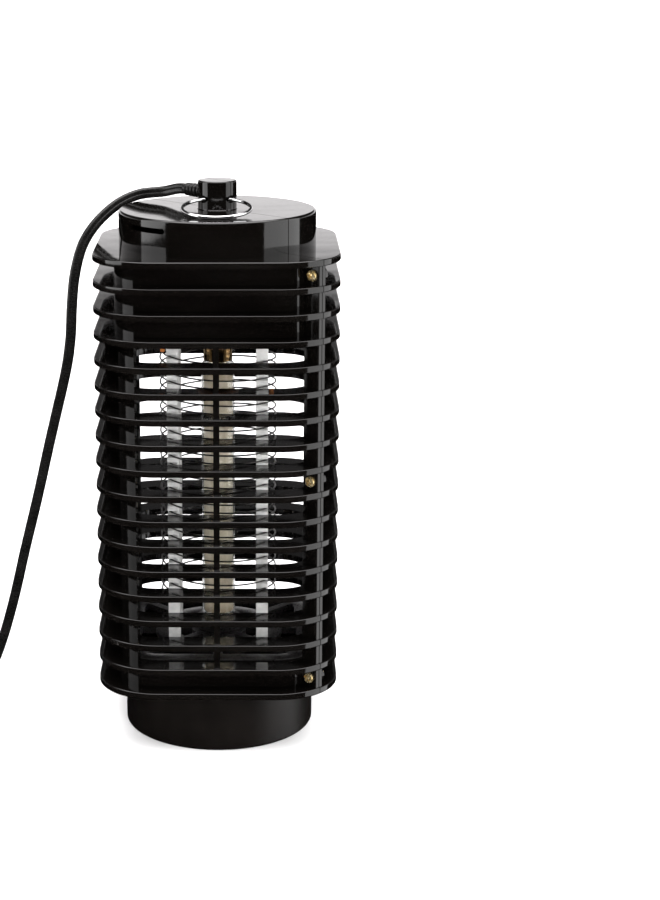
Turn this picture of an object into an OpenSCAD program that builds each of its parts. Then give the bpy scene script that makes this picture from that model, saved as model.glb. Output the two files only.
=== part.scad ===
// Electric bug zapper: a louvred cage in two half shells, a high-voltage grid round an
// ultraviolet lamp, a pull-off insect tray, a hanging ring and a mains cord with its plug.
// Millimetres, +Z up, front towards -Y. The origin is the centre of the underside.

/* [Cage] */
// Width of the square louvre plates, across the flats
body_w = 110; // [108:0.5:114]
// Radius of the plates' rounded corners
plate_corner_r = 28; // [26:0.5:30]
// Thickness of a louvre plate
plate_t = 3; // [2.4:0.1:3.6]
// Rise from one plate to the next
plate_pitch = 11.6; // [11.4:0.05:11.8]
// How far the plates stand out past the wall
plate_overhang = 9.5; // [9:0.1:10]
// Thickness of the cage wall
wall_t = 2; // [1.6:0.1:2.2]
// Thickness of the upright rib in the middle of each side
rib_t = 2.7; // [2:0.1:3.2]

/* [Top] */
// Radius of the round cap
cap_r = 44.8; // [44:0.1:46]
// Height of the round cap
cap_h = 15.7; // [14:0.1:18]
// Radius of the hanging knob
knob_r = 8.8; // [8.5:0.1:9.5]
// Height of the hanging knob
knob_h = 12.9; // [12:0.1:14]

/* [Insect tray] */
// Outer radius of the tray
tray_r = 44.3; // [44:0.1:45]
// Height of the tray
tray_h = 29; // [28.5:0.1:29.1]
// Thickness of the tray's wall and floor
tray_t = 2.2; // [1.8:0.1:2.2]

/* [Grid] */
// Radius that the grid wires are wound to
grid_r = 26.7; // [26.5:0.1:27]
// Diameter of a grid wire
grid_wire_d = 0.8; // [0.6:0.1:0.9]
// Rise of one turn of a grid wire
grid_pitch = 7.73; // [7.5:0.01:8]
// Turns of each grid wire
grid_turns = 15; // [12:1:15]

/* [Lamp] */
// Outer radius of the lamp tube
lamp_r = 7.85; // [7.5:0.05:8]

/* [Hanging ring] */
// Radius of the ring to the middle of its wire
ring_r = 15.2; // [15:0.1:16]
// Diameter of the ring's wire
ring_d = 1.6; // [1.4:0.1:1.7]

/* [Cord and plug] */
// Width of the flat cord
cord_d = 5; // [4.6:0.1:5.2]
// Width of the plug
plug_w = 31; // [29:0.5:33]
// Thickness of the plug
plug_t = 11; // [10:0.5:12]
// Spread of the two pins at the plug's face
pin_spread = 18.6; // [18:0.1:19.2]

/* [Hidden] */
$fn = 96;
eps = 0.5;

// Colours
gloss_black = [0.05, 0.05, 0.055];
satin_black = [0.1, 0.095, 0.095];
post_grey = [0.8, 0.8, 0.78];
steel = [0.55, 0.55, 0.55];
brown = [0.4, 0.22, 0.12];
orange = [0.85, 0.4, 0.12];

// Heights, from the floor up
plates = 18;
tray_gap = 0.2;
bottom_plate_z = tray_h + tray_gap;
top_z = bottom_plate_z + plate_t + (plates - 1) * plate_pitch;
cap_top_z = top_z + cap_h;
knob_top_z = cap_top_z + knob_h;
function plate_top(k) = top_z - k * plate_pitch;
function gap_top(k) = plate_top(k) - plate_t;
function gap_low(k) = plate_top(k + 1);
function gap_mid(k) = (gap_top(k) + gap_low(k)) / 2;
first_open_gap = 3;
last_open_gap = 15;
closed_gaps = [0, 1, 2, 16];
ledge_plates = [3, 16];
gap_h = plate_pitch - plate_t;

// Widths
half_w = body_w / 2;
wall_out = half_w - plate_overhang;
wall_in = wall_out - wall_t;
ledge_in = wall_in - 2;
front_window_posts = [35.8, 34.6];
rear_window_posts = [42, 30];
window_seam_side = 40.5;
cap_wall = 2.2;
seam_gap = 0.2;

// Seam flanges and their screws
flange_t = 2.1;
flange_in_r = 56.5;
flange_out_r = 65.4;
screw_r = 1.4;
screw_at_r = 61.4;
screw_head_r = 2.5;
screw_head_h = 1.9;
screw_tip = 6.9;
screw_point = 1;
boss_r = 2.8;
boss_end = 5.2;
screw_gaps = [0, 8, 16];

// Rib outline: how far its outer edge stands from the axis
rib_top_reach = 49.5;
rib_low_reach = 52.5;

// Tray collar under the cage
collar_r = tray_r - tray_t - 0.3;
collar_t = 2;
collar_h = 7;

// Knob: the ring's hole and the strain relief's seat
ring_hole_r = 1.75;
ring_hole_y = -6;
ring_hole_z = cap_top_z + 4.9;
relief_z = cap_top_z + 6.9;
relief_in = 4;
relief_out = 20.9;
relief_r = 3.1;
relief_collar_r = 4.2;
duct_r = 2.2;

// Vent slots in the cap
vent_w = 23;
vent_h = 2.4;
vent_z = top_z + 10.8;

// Inner frame
base_top_z = plate_top(16) + 0.9;
base_t = 3;
pan_floor_z = 189;
pan_floor_t = 2.2;
pan_top_z = plate_top(3) + 1;
post_w = 5.5;
post_x = 20.4;
post_y = 14.75;
notch_r = 25.4;
notch_h = 1.7;
wire_top_z = 180;
wire_start = 207.6;
helix_steps = 16;
lead_r = 28.1;
return_angle = 28;
return_r = 23.2;

// Lamp
lamp_low_z = 46;
glass_low_z = 51;
glass_top_z = 175;
lamp_high_z = 181.5;
cap_end_r = 6.7;
glass_t = 0.8;
pin_pitch = 4.75;
lamp_pin_r = 1.2;
lamp_pin_l = 5;

// Circuit board
board_z = 200;
board_t = 1.6;
board_l = 60;
board_w = 46;
board_hole_x = 26;
board_hole_y = 19;
parts_z = board_z + board_t;

// The cord: where it runs, from the strain relief over the cap and down to the floor
out_45 = sqrt(0.5);
cord_route = [
    [-relief_out * out_45, relief_out * out_45, relief_z],
    [-18.6, 18.2, 251.6], [-25.5, 22.5, 249.7], [-36.5, 24.5, 248.2],
    [-45.8, 22.5, 244.4], [-54, 19, 238],
    [-60, 15.5, 230.8], [-63.7, 12.5, 223], [-66.5, 10.5, 211], [-67.8, 9, 197],
    [-68.5, 9, 185], [-70.1, 9, 173], [-72.6, 10, 161.5], [-76, 11.5, 148],
    [-80.5, 13, 130], [-86.5, 15, 105], [-93.5, 18, 78], [-100, 22, 52],
    [-106.5, 27, 30], [-113, 33, 13.5], [-121, 40, 5.2], [-131, 47, 2.9],
    [-141, 51.5, 2.6], [-152, 53.2, 2.5]];
coil_x = -152;
coil_y = 22;
coil_in_r = 26;
coil_step = 5.2;
coil_room = 0.3;
tail_r = coil_in_r + 2 * coil_step;
tail_z = 7.7;
plug_z = plug_t / 2;
tail_x = coil_x - tail_r;
plug_y = -14;
tail_route = [[tail_x, coil_y, tail_z], [tail_x, 10, 7.2], [tail_x, -2, 6],
              [tail_x, plug_y, plug_z]];
tie_w = 4.5;
tie_t = 0.6;
tie_at = -45;

// Plug
plug_l = 36;
pin_l = 19;
sleeve_l = 9;
sleeve_room = 0.1;
pin_r = 2;
pin_core_r = 1.45;
pin_tilt = 1.66;
pin_root = 4;

// A square of half width h with round corners, concentric with the plates' corners
module rounded_square(h) {
    r = plate_corner_r - (half_w - h);
    square([2 * h, 2 * (h - r)], center = true);
    square([2 * (h - r), 2 * h], center = true);
    for (x = [-1, 1], y = [-1, 1]) translate([x * (h - r), y * (h - r)]) circle(r);
}

module square_ring(h_out, h_in) {
    difference() {
        rounded_square(h_out);
        rounded_square(h_in);
    }
}

// What is left of a gap's floor plan: the wall, and the flanges along the seam
module gap_plan(open, posts) {
    difference() {
        square_ring(wall_out, wall_in);
        if (open) window_plan(posts);
    }
    intersection() {
        rotate(-45) difference() {
            square([2 * flange_out_r, 2 * flange_t], center = true);
            square([2 * flange_in_r, 3 * flange_t], center = true);
        }
        rounded_square(half_w);
    }
}

// The windows: one in each side, from the seam to the corner post, which lies between the two
// distances in posts, the first along X and the second along Y
module window_plan(posts) {
    for (turn = [0, 180]) rotate(turn) {
        translate([-posts[0], -half_w])
            square([posts[0] + window_seam_side, half_w - wall_in + 6]);
        mirror([1, -1]) translate([-posts[1], -half_w])
            square([posts[1] + window_seam_side, half_w - wall_in + 6]);
    }
}

// One upright of a side: a thin rib through all the open gaps, its outer edge sloping out
// downwards in each
module rib() {
    points = concat(
        [for (k = [first_open_gap : last_open_gap])
            each [[rib_top_reach, gap_top(k)], [rib_low_reach, gap_low(k)],
                  [rib_low_reach, k < last_open_gap ? gap_top(k + 1) : gap_low(k)]]],
        [[wall_in, gap_low(last_open_gap)], [wall_in, gap_top(first_open_gap)]]);
    rotate([90, 0, 0]) linear_extrude(rib_t, center = true) polygon(points);
}

// Floor plan of a louvre plate: a ring with room for the corner posts, the flanges and, between
// two open gaps, the ribs. Two of them reach further in, as ledges that carry the grid's ends.
module louvre_plan(k, posts) {
    is_ledge = k == ledge_plates[0] || k == ledge_plates[1];
    difference() {
        square_ring(half_w, is_ledge ? ledge_in : wall_in);
        gap_plan(true, posts);
        if (k > first_open_gap && k <= last_open_gap)
            for (a = [0 : 90 : 270]) rotate(a) translate([wall_in - eps, -rib_t / 2])
                square([rib_low_reach - wall_in + eps, rib_t]);
    }
}

// The louvres as they would be before they are split along the diagonal
module whole_louvres(posts) {
    for (k = [1 : plates - 2]) translate([0, 0, plate_top(k) - plate_t])
        linear_extrude(plate_t) louvre_plan(k, posts);
}

// What the louvres stand in: the end plates, the corner posts, the flanges and the closed bands
module whole_cage(posts) {
    for (z = [bottom_plate_z, top_z - plate_t]) translate([0, 0, z])
        linear_extrude(plate_t) square_ring(half_w, wall_in);
    translate([0, 0, bottom_plate_z + plate_t]) linear_extrude(top_z - bottom_plate_z - 2 * plate_t)
        gap_plan(true, posts);
    for (k = closed_gaps) translate([0, 0, gap_low(k)])
        linear_extrude(gap_h) gap_plan(false, posts);
    // the top plate runs in to the cap
    translate([0, 0, top_z - plate_t]) linear_extrude(plate_t) difference() {
        rounded_square(wall_in + eps);
        circle(cap_r - cap_wall / 2);
    }
    // closed bottom with the collar that the tray slides over
    translate([0, 0, bottom_plate_z]) linear_extrude(plate_t) difference() {
        rounded_square(wall_in + eps);
        circle(collar_r - collar_t);
    }
    translate([0, 0, bottom_plate_z - collar_h]) linear_extrude(collar_h + 1) difference() {
        circle(collar_r);
        circle(collar_r - collar_t);
    }
}

// The round cap, hollow inside, with the solid knob on it
module whole_cap() {
    edge = 1.2;
    in_r = cap_r - cap_wall;
    rotate_extrude() difference() {
        union() {
            translate([0, top_z - plate_t]) square([cap_r, plate_t + cap_h - edge]);
            translate([0, cap_top_z - edge - 1]) square([cap_r - edge, edge + 1]);
            translate([cap_r - edge, cap_top_z - edge]) circle(edge);
            translate([0, cap_top_z - 1]) square([knob_r, knob_h + 1]);
        }
        translate([-1, top_z - plate_t - 1]) square([in_r + 1, cap_h - cap_wall + plate_t + 1]);
        translate([-2 * cap_r, 0]) square([2 * cap_r, 2 * knob_top_z]);
    }
}

// Things cut from both shells: the vents, the ring's hole and the cord's way in
module cap_cuts() {
    for (a = [45, 225]) rotate(a) translate([cap_r, 0, vent_z]) {
        cube([8, vent_w - vent_h, vent_h], center = true);
        for (y = [-1, 1]) translate([0, y * (vent_w - vent_h) / 2, 0])
            rotate([0, 90, 0]) cylinder(r = vent_h / 2, h = 8, center = true);
    }
    translate([0, ring_hole_y, ring_hole_z]) rotate([0, 90, 0])
        cylinder(r = ring_hole_r, h = 3 * knob_r, center = true);
    translate([0, 0, relief_z]) rotate([0, 90, 135]) {
        cylinder(r = duct_r, h = relief_in);
        translate([0, 0, relief_in]) cylinder(r = relief_r + 0.1, h = 2 * knob_r);
        translate([0, 0, relief_in + 0.9]) cylinder(r = relief_collar_r + 0.1, h = 1.8);
    }
    translate([0, 0, cap_top_z - cap_wall - 1]) cylinder(r = duct_r, h = relief_z - cap_top_z + 4);
}

// Puts its children at every screw of one seam: +Z along the screw, away from its head
module at_screws(turn) {
    for (k = screw_gaps) rotate(turn) translate([screw_at_r * out_45, -screw_at_r * out_45, gap_mid(k)])
        rotate([0, 90, 45]) children();
}

// The side of the seam where x + y < 0
module own_side() {
    rotate(45) translate([-2 * body_w - seam_gap / 2, -body_w, -1])
        cube([2 * body_w, 2 * body_w, 2 * knob_top_z]);
}

// One half of the housing
module half_shell(posts) {
    difference() {
        union() {
            intersection() {
                union() {
                    whole_cage(posts);
                    whole_cap();
                }
                own_side();
            }
            at_screws(180) translate([0, 0, flange_t - 0.5])
                cylinder(r = boss_r, h = boss_end - flange_t + 0.5);
        }
        at_screws(0) cylinder(r = screw_r + 0.2, h = 12, center = true);
        at_screws(180) cylinder(r = screw_r + 0.05, h = 14, center = true);
    }
}

module front_shell() {
    color(gloss_black) difference() {
        half_shell(front_window_posts);
        cap_cuts();
    }
}

module rear_shell() {
    color(gloss_black) difference() {
        rotate(180) half_shell(rear_window_posts);
        cap_cuts();
    }
}

// The louvres of one half
module half_louvres(posts) {
    intersection() {
        whole_louvres(posts);
        own_side();
    }
}

module front_louvres() {
    color(gloss_black) half_louvres(front_window_posts);
}

module rear_louvres() {
    color(gloss_black) rotate(180) half_louvres(rear_window_posts);
}

// The two ribs of one half, in the middle of its sides
module front_ribs() {
    color(gloss_black) for (a = [180, 270]) rotate(a) rib();
}

module rear_ribs() {
    color(gloss_black) for (a = [0, 90]) rotate(a) rib();
}

// Pan head screw with a cross recess, its head's underside on the flange
module seam_screw() {
    translate([0, 0, -flange_t - screw_head_h]) difference() {
        union() {
            cylinder(r = screw_head_r, h = screw_head_h);
            cylinder(r = screw_r, h = screw_head_h + flange_t + screw_tip - screw_point);
            translate([0, 0, screw_head_h + flange_t + screw_tip - screw_point])
                cylinder(r1 = screw_r, r2 = 0.6, h = screw_point);
        }
        for (a = [0, 90]) rotate(a) cube([3.2, 0.7, 2], center = true);
    }
}

module seam_screws() {
    color("darkgoldenrod") for (turn = [0, 180]) at_screws(turn) seam_screw();
}

// Wire ring through the knob, lying on the cap in front of it
module hanging_ring() {
    sag = ring_r - 0.75;
    drop = asin((ring_hole_z - cap_top_z - ring_d / 2 - 0.05) / (sag + ring_r));
    color("silver") translate([0, ring_hole_y, ring_hole_z]) rotate([drop, 0, 0])
        translate([0, -sag, 0]) rotate_extrude() translate([ring_r, 0]) circle(ring_d / 2);
}

// Round tray with a small radius at its foot
module insect_tray() {
    foot = 1.5;
    color(satin_black) rotate_extrude() difference() {
        union() {
            translate([0, foot]) square([tray_r, tray_h - foot]);
            square([tray_r - foot, 2 * foot]);
            translate([tray_r - foot, foot]) circle(foot);
        }
        translate([0, tray_t]) square([tray_r - tray_t, tray_h]);
        translate([-2 * tray_r, 0]) square([2 * tray_r, 2 * tray_h]);
    }
}

// Open spoked frame at the foot of the grid: insects fall through it
module grid_base() {
    color(satin_black) difference() {
        union() {
            translate([0, 0, base_top_z - base_t]) linear_extrude(base_t) {
                square_ring(ledge_in - 0.3, ledge_in - 5);
                difference() {
                    circle(30);
                    circle(20.5);
                }
                circle(13);
                intersection() {
                    rounded_square(ledge_in - 1);
                    for (a = [0 : 45 : 135]) rotate(a) square([3 * half_w, 4], center = true);
                }
            }
            translate([0, 0, plate_top(16)]) linear_extrude(base_top_z - plate_top(16))
                square_ring(wall_in - 0.3, ledge_in - 2);
        }
        for (x = [-1, 1]) translate([x * pin_pitch / 2, 0, base_top_z - base_t - 1])
            cylinder(r = lamp_pin_r + 0.15, h = base_t + 2);
    }
}

// Shallow pan at the head of the grid that carries the circuit board
module grid_top() {
    color(satin_black) difference() {
        union() {
            translate([0, 0, pan_floor_z]) linear_extrude(pan_floor_t) rounded_square(ledge_in - 0.3);
            translate([0, 0, pan_floor_z + 1]) linear_extrude(pan_top_z - pan_floor_z - 1)
                square_ring(ledge_in - 0.3, ledge_in - 2.3);
            translate([0, 0, pan_top_z - 1]) linear_extrude(1) square_ring(wall_in - 0.3, ledge_in - 2.3);
            for (x = [-1, 1], y = [-1, 1]) translate([x * board_hole_x, y * board_hole_y, pan_floor_z + 1])
                cylinder(r = 3, h = board_z - pan_floor_z - 1);
        }
        for (x = [-1, 1], y = [-1, 1]) translate([x * board_hole_x, y * board_hole_y, board_z - 8.5])
            cylinder(r = 1.3, h = 10);
        for (x = [-1, 1]) translate([x * pin_pitch / 2, 0, pan_floor_z - 1]) cylinder(r = 1.1, h = 5);
        for (a = [0, 180]) rotate(wire_start + a) translate([lead_r, 0, pan_floor_z - 1])
            cylinder(r = 1.4, h = 5);
        rotate(return_angle) translate([return_r, 0, pan_floor_z - 1]) cylinder(r = 1, h = 5);
    }
}

// Height of a grid wire where it passes the direction a, after the given number of turns
function wire_z(a, start, turn) = wire_top_z - grid_pitch * (((a - start + 720) % 360) / 360 + turn);

// Post with a notch in its outer corner for every pass of either wire
module grid_post(side_x, side_y) {
    a = (atan2(side_y * post_y, side_x * post_x) + 360) % 360;
    color(post_grey) difference() {
        translate([side_x * post_x - post_w / 2, side_y * post_y - post_w / 2, base_top_z])
            cube([post_w, post_w, pan_floor_z - base_top_z]);
        for (start = [wire_start, wire_start + 180], turn = [0 : grid_turns - 1])
            translate([0, 0, wire_z(a, start, turn)]) rotate(a)
                translate([notch_r, -post_w, -notch_h / 2]) cube([post_w, 2 * post_w, notch_h]);
    }
}

module grid_post_front_left() {
    grid_post(-1, -1);
}

module grid_post_front_right() {
    grid_post(1, -1);
}

module grid_post_back_left() {
    grid_post(-1, 1);
}

module grid_post_back_right() {
    grid_post(1, 1);
}

// Ring of points round p, square to the direction t; side is any direction not along t
function ring_points(p, t, side, r, n) =
    let (d = t / norm(t), u0 = cross(d, side), u = u0 / norm(u0), v = cross(d, u))
    [for (i = [0 : n - 1]) p + r * (cos(360 * i / n) * u + sin(360 * i / n) * v)];

function heading(path, i) = path[min(i + 1, len(path) - 1)] - path[max(i - 1, 0)];

// Round tube swept along a list of points, as one closed solid
module swept_tube(path, r, n, side) {
    rings = len(path);
    points = [for (i = [0 : rings - 1]) each ring_points(path[i], heading(path, i), side, r, n)];
    faces = concat(
        [[for (i = [0 : n - 1]) i]],
        [for (k = [0 : rings - 2], i = [0 : n - 1], half = [0, 1])
            half == 0 ? [k * n + i, (k + 1) * n + i, (k + 1) * n + (i + 1) % n]
                      : [k * n + i, (k + 1) * n + (i + 1) % n, k * n + (i + 1) % n]],
        [[for (i = [n - 1 : -1 : 0]) (rings - 1) * n + i]]);
    polyhedron(points, faces);
}

// One wound wire of the grid, from its top end down
module grid_wire(start) {
    path = [for (i = [0 : grid_turns * helix_steps])
        let (a = start + 360 * i / helix_steps)
        [grid_r * cos(a), grid_r * sin(a), wire_top_z - grid_pitch * i / helix_steps]];
    swept_tube(path, grid_wire_d / 2, 4, [0, 0, 1]);
}

module grid_wire_live() {
    color(steel) grid_wire(wire_start);
}

module grid_wire_return() {
    color(steel) grid_wire(wire_start + 180);
}

// Hollow glass tube drawn in at both ends
module lamp_tube() {
    neck = cap_end_r - 0.3;
    color([0.92, 0.88, 0.78, 0.6]) rotate_extrude() polygon([
        [neck, glass_low_z], [lamp_r, glass_low_z + 2.5], [lamp_r, glass_top_z - 3], [neck, glass_top_z],
        [neck - glass_t, glass_top_z], [lamp_r - glass_t, glass_top_z - 3.4],
        [lamp_r - glass_t, glass_low_z + 2.9], [neck - glass_t, glass_low_z]]);
}

// Metal end cap with its two pins; the pins point towards -Z
module lamp_cap(h) {
    cylinder(r = cap_end_r, h = h);
    for (x = [-1, 1]) translate([x * pin_pitch / 2, 0, -lamp_pin_l])
        cylinder(r = lamp_pin_r, h = lamp_pin_l + 1);
}

module lamp_cap_lower() {
    color("silver") translate([0, 0, lamp_low_z]) lamp_cap(glass_low_z - lamp_low_z);
}

module lamp_cap_upper() {
    color("silver") translate([0, 0, lamp_high_z]) rotate([180, 0, 0]) lamp_cap(lamp_high_z - glass_top_z);
}

// Cup that the lamp's foot stands in
module lamp_holder_lower() {
    color(satin_black) difference() {
        translate([0, 0, base_top_z]) cylinder(r = 10.5, h = 5.8);
        translate([0, 0, lamp_low_z]) cylinder(r = cap_end_r + 0.2, h = 10);
        for (x = [-1, 1]) translate([x * pin_pitch / 2, 0, base_top_z - 1])
            cylinder(r = lamp_pin_r + 0.15, h = 5);
    }
}

// Block under the pan that takes the lamp's upper pins
module lamp_holder_upper() {
    color(brown) difference() {
        translate([0, 0, lamp_high_z]) cylinder(r = 9.5, h = pan_floor_z - lamp_high_z);
        for (x = [-1, 1]) translate([x * pin_pitch / 2, 0, lamp_high_z - 1])
            cylinder(r = lamp_pin_r + 0.15, h = lamp_pin_l + 1.3);
    }
}

module circuit_board() {
    color("darkgoldenrod") difference() {
        translate([-board_l / 2, -board_w / 2, board_z]) cube([board_l, board_w, board_t]);
        for (x = [-1, 1], y = [-1, 1]) translate([x * board_hole_x, y * board_hole_y, board_z - 1])
            cylinder(r = 1.6, h = board_t + 2);
    }
}

module board_screws() {
    color("silver") for (x = [-1, 1], y = [-1, 1])
        translate([x * board_hole_x, y * board_hole_y, parts_z]) {
            cylinder(r = 2.4, h = 1.5);
            translate([0, 0, -7]) cylinder(r = 1.25, h = 7.5);
        }
}

// Wound film capacitors of the voltage multiplier
module film_capacitors() {
    color("firebrick") for (i = [0 : 3]) translate([-18 + 9 * i, -14, parts_z]) cube([5.5, 12.5, 10]);
}

// The larger capacitor that limits the lamp's current
module ballast_capacitor() {
    color("goldenrod") translate([-20, 5, parts_z]) cube([19, 8.5, 14.5]);
}

// Small round parts lying on the board in a row, each along Y
module lying_parts(n, x, y, step, r, l) {
    for (i = [0 : n - 1]) translate([x + step * i, y, parts_z + r + 0.05])
        rotate([-90, 0, 0]) cylinder(r = r, h = l);
}

module diodes() {
    color([0.15, 0.15, 0.15]) lying_parts(4, 4.5, 5, 4, 1.35, 5.2);
}

module resistors() {
    color("tan") lying_parts(3, 4.5, 13, 4, 1.15, 6.3);
}

// Lead inside the knob and the cap, from the strain relief down to the board
module mains_lead() {
    bend = relief_in;
    r = 1.5;
    color([0.1, 0.1, 0.1]) rotate(135) {
        translate([0, 0, parts_z]) cylinder(r = r, h = relief_z - bend - parts_z);
        translate([bend, 0, relief_z - bend]) rotate([90, 0, 0])
            rotate([0, 0, 90]) rotate_extrude(angle = 90) translate([bend, 0]) circle(r);
    }
}

// Insulated leads from the board to the upper ends of the two grid wires
module high_voltage_leads() {
    color(orange) for (a = [0, 180]) rotate(wire_start + a) translate([lead_r, 0, wire_top_z + 1.6])
        cylinder(r = 1.1, h = board_z - wire_top_z - 1.6);
}

module lamp_leads() {
    color("white") for (x = [-1, 1]) translate([x * pin_pitch / 2, 0, pan_floor_z])
        cylinder(r = 0.9, h = board_z - pan_floor_z);
}

// Lead from the lower lamp holder along the base and up the inside of the back right post
module lamp_return_lead() {
    r = 0.8;
    bend = 4;
    z = base_top_z + r + 0.1;
    color("white") rotate(return_angle) {
        translate([10.5, 0, z]) rotate([0, 90, 0]) cylinder(r = r, h = return_r - bend - 10.5);
        translate([return_r - bend, 0, z + bend]) rotate([90, 0, 0]) rotate([0, 0, 270])
            rotate_extrude(angle = 90) translate([bend, 0]) circle(r);
        translate([return_r, 0, z + bend]) cylinder(r = r, h = board_z - z - bend);
    }
}

// Ribbed grommet held in the knob by its collar
module strain_relief() {
    rib = 1.15;
    ribs = 5;
    color(satin_black) translate([0, 0, relief_z]) rotate([0, 90, 135]) {
        translate([0, 0, relief_in]) cylinder(r = relief_r, h = knob_r - relief_in + 0.6);
        translate([0, 0, relief_in + 1]) cylinder(r = relief_collar_r, h = 1.6);
        translate([0, 0, knob_r]) cylinder(r = 2.7, h = relief_out - knob_r);
        for (i = [0 : ribs - 1]) translate([0, 0, knob_r + 0.6 + 2.3 * i])
            cylinder(r = 3.3 - 0.08 * i, h = rib);
    }
}

// Points between p1 and p2 on one smooth curve through p0, p1, p2 and p3
function between(p0, p1, p2, p3, t) =
    0.5 * (2 * p1 + (p2 - p0) * t + (2 * p0 - 5 * p1 + 4 * p2 - p3) * t * t
           + (3 * p1 - p0 - 3 * p2 + p3) * t * t * t);

function smoothed(path, parts) =
    let (n = len(path))
    concat([for (i = [0 : n - 2], s = [0 : parts - 1])
        between(path[max(i - 1, 0)], path[i], path[i + 1], path[min(i + 2, n - 1)], s / parts)],
        [path[n - 1]]);

module power_cord() {
    color(satin_black) swept_tube(smoothed(cord_route, 2), cord_d / 2, 8, [0, 1, 0.02]);
}

// Four turns of spare cord, two beside each other and two on top
module cord_coil() {
    half = cord_d / 2;
    color(satin_black) translate([coil_x, coil_y, 0]) difference() {
        rotate_extrude() translate([coil_in_r - half, 0])
            square([coil_step + cord_d + coil_room, coil_step + cord_d]);
        rotate(tie_at) translate([0, -tie_w / 2 - 0.2, -1])
            cube([2 * coil_in_r, tie_w + 0.4, 1 + tie_t + 0.1]);
    }
}

module cord_tail() {
    color(satin_black) swept_tube(tail_route, cord_d / 2, 8, [0, 0, 1]);
}

// Flat tie closed round the coil
module cord_tie() {
    room = 0.1;
    h = coil_step + cord_d + room;
    l = h + coil_room + room;
    color("dimgray") translate([coil_x, coil_y, 0]) rotate(tie_at)
        translate([coil_in_r - cord_d / 2 - room - tie_t, -tie_w / 2, 0]) difference() {
            cube([l + 2 * tie_t, tie_w, h + 2 * tie_t]);
            translate([tie_t, -1, tie_t]) cube([l, tie_w + 2, h]);
        }
}

// Places its children at the plug: +Y runs back along the cord, the pins point to -Y
module at_plug() {
    translate([tail_x, plug_y, plug_z]) children();
}

// Outline of the flat plug: a broad head, hollow flanks and a small collar at the cord
module plug_outline() {
    head = 8.3;
    collar_l = 3.5;
    collar_half = 6.85;
    waist = 4.6;
    translate([-plug_w / 2, -plug_l]) square([plug_w, head]);
    translate([-collar_half, -collar_l]) square([2 * collar_half, collar_l]);
    flank_r = 32;
    difference() {
        translate([-plug_w / 2, -plug_l + head - 0.5]) square([plug_w, plug_l - head - 1]);
        for (x = [-1, 1]) translate([x * (waist + flank_r), -6.5]) circle(flank_r);
        for (x = [-1, 1]) translate([x * (waist + 20), -6.5 + 10]) square([40, 20], center = true);
    }
}

module plug_body() {
    color(satin_black) at_plug() difference() {
        linear_extrude(plug_t, center = true) plug_outline();
        for (x = [-1, 1]) pin_axis(x) cylinder(r = pin_core_r, h = pin_root + 1);
    }
}

// Places its children at a pin's root inside the plug, +Z towards the pin's tip
module pin_axis(side) {
    translate([side * pin_spread / 2, -plug_l, 0]) rotate([90, 0, 0]) rotate([0, -side * pin_tilt, 0])
        translate([0, 0, -pin_root]) children();
}

module plug_pins() {
    color("silver") at_plug() for (x = [-1, 1]) pin_axis(x) {
        cylinder(r = pin_core_r, h = pin_root + sleeve_l + 1);
        translate([0, 0, pin_root + sleeve_l]) cylinder(r = pin_r, h = pin_l - sleeve_l - 0.8);
        translate([0, 0, pin_root + pin_l - 0.8]) cylinder(r1 = pin_r, r2 = pin_r - 0.8, h = 0.8);
    }
}

module pin_sleeves() {
    color(satin_black) at_plug() for (x = [-1, 1]) pin_axis(x) difference() {
        translate([0, 0, pin_root + sleeve_room]) cylinder(r = pin_r, h = sleeve_l - sleeve_room);
        cylinder(r = pin_core_r, h = pin_root + sleeve_l + 1);
    }
}

front_shell();
rear_shell();
front_louvres();
rear_louvres();
front_ribs();
rear_ribs();
seam_screws();
hanging_ring();
insect_tray();
grid_base();
grid_top();
grid_post_front_left();
grid_post_front_right();
grid_post_back_left();
grid_post_back_right();
grid_wire_live();
grid_wire_return();
lamp_tube();
lamp_cap_lower();
lamp_cap_upper();
lamp_holder_lower();
lamp_holder_upper();
circuit_board();
board_screws();
film_capacitors();
ballast_capacitor();
diodes();
resistors();
mains_lead();
high_voltage_leads();
lamp_leads();
lamp_return_lead();
strain_relief();
power_cord();
cord_coil();
cord_tail();
cord_tie();
plug_body();
plug_pins();
pin_sleeves();
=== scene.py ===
import math

import bmesh
import bpy
from mathutils import Matrix, Vector


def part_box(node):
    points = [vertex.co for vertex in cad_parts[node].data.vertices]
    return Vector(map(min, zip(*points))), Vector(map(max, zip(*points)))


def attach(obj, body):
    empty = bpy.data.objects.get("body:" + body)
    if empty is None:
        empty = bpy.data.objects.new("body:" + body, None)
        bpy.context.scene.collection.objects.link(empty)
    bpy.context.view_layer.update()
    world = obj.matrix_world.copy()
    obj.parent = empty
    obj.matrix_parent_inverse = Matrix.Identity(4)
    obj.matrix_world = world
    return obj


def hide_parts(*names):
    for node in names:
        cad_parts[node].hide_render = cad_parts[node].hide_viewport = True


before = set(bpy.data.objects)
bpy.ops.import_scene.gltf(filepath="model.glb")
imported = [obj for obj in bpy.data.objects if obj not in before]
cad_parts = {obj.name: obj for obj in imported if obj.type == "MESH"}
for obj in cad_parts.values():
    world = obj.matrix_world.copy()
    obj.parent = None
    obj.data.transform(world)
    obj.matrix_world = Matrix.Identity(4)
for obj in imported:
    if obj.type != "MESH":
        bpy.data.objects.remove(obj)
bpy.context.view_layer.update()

MM = 0.001
DIAGONAL = math.sqrt(0.5)


def placed(name, data):
    """A new object that shows the data, linked into the scene."""
    made = bpy.data.objects.new(name, data)
    bpy.context.scene.collection.objects.link(made)
    return made


# ---------------------------------------------------------------- camera

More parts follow.
